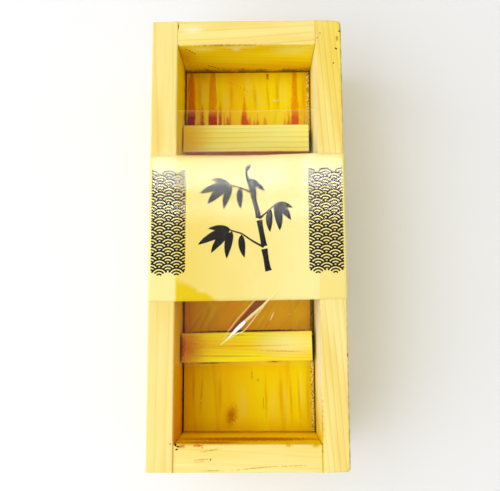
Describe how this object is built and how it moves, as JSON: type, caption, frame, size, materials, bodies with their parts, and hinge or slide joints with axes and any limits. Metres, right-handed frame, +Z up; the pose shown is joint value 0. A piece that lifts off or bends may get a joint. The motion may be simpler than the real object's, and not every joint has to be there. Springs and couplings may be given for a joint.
{
  "type": "sushi rice mold press",
  "caption": "Wooden box press for pressed sushi: a bottomless frame on a footed base board, a press board with cross battens inside and a wide printed paper band over the middle.",
  "frame": {"origin": "centre of the footprint, on the surface that the feet stand on", "axes": "+X across the box to the right board, +Y along the box to the far end, +Z up"},
  "size_m": [0.0888, 0.204, 0.0644],
  "materials": {
    "frame_wood": "planed cypress, bare",
    "base_wood": "planed cypress, bare",
    "press_wood": "planed cypress, bare, with heartwood streaks",
    "batten_wood": "planed cypress, bare",
    "bamboo": "bamboo end grain",
    "nail_steel": "plain steel",
    "band_paper": "cream paper with black ink"
  },
  "bodies": {
    "base": {"base_board": "base_wood", "far_base_foot": "base_wood", "near_base_foot": "base_wood", "far_foot_pegs": "bamboo", "near_foot_pegs": "bamboo"},
    "frame": {"left_side_board": "frame_wood", "right_side_board": "frame_wood", "far_end_board": "frame_wood", "near_end_board": "frame_wood", "far_left_nails": "nail_steel", "far_right_nails": "nail_steel", "near_left_nails": "nail_steel", "near_right_nails": "nail_steel"},
    "press": {"press_board": "press_wood", "far_press_batten": "batten_wood", "near_press_batten": "batten_wood", "far_batten_pegs": "bamboo", "near_batten_pegs": "bamboo"},
    "band": {"paper_band": "band_paper"}
  },
  "joints": [
    {"name": "frame_lift", "type": "slide", "parent": "base", "child": "frame", "axis": [0, 0, 1], "range_m": [0, 0.08]},
    {"name": "press_lift", "type": "slide", "parent": "frame", "child": "press", "axis": [0, 0, 1], "range_m": [0, 0.06]},
    {"name": "band_lift", "type": "slide", "parent": "press", "child": "band", "axis": [0, 0, 1], "range_m": [0, 0.07]}
  ]
}
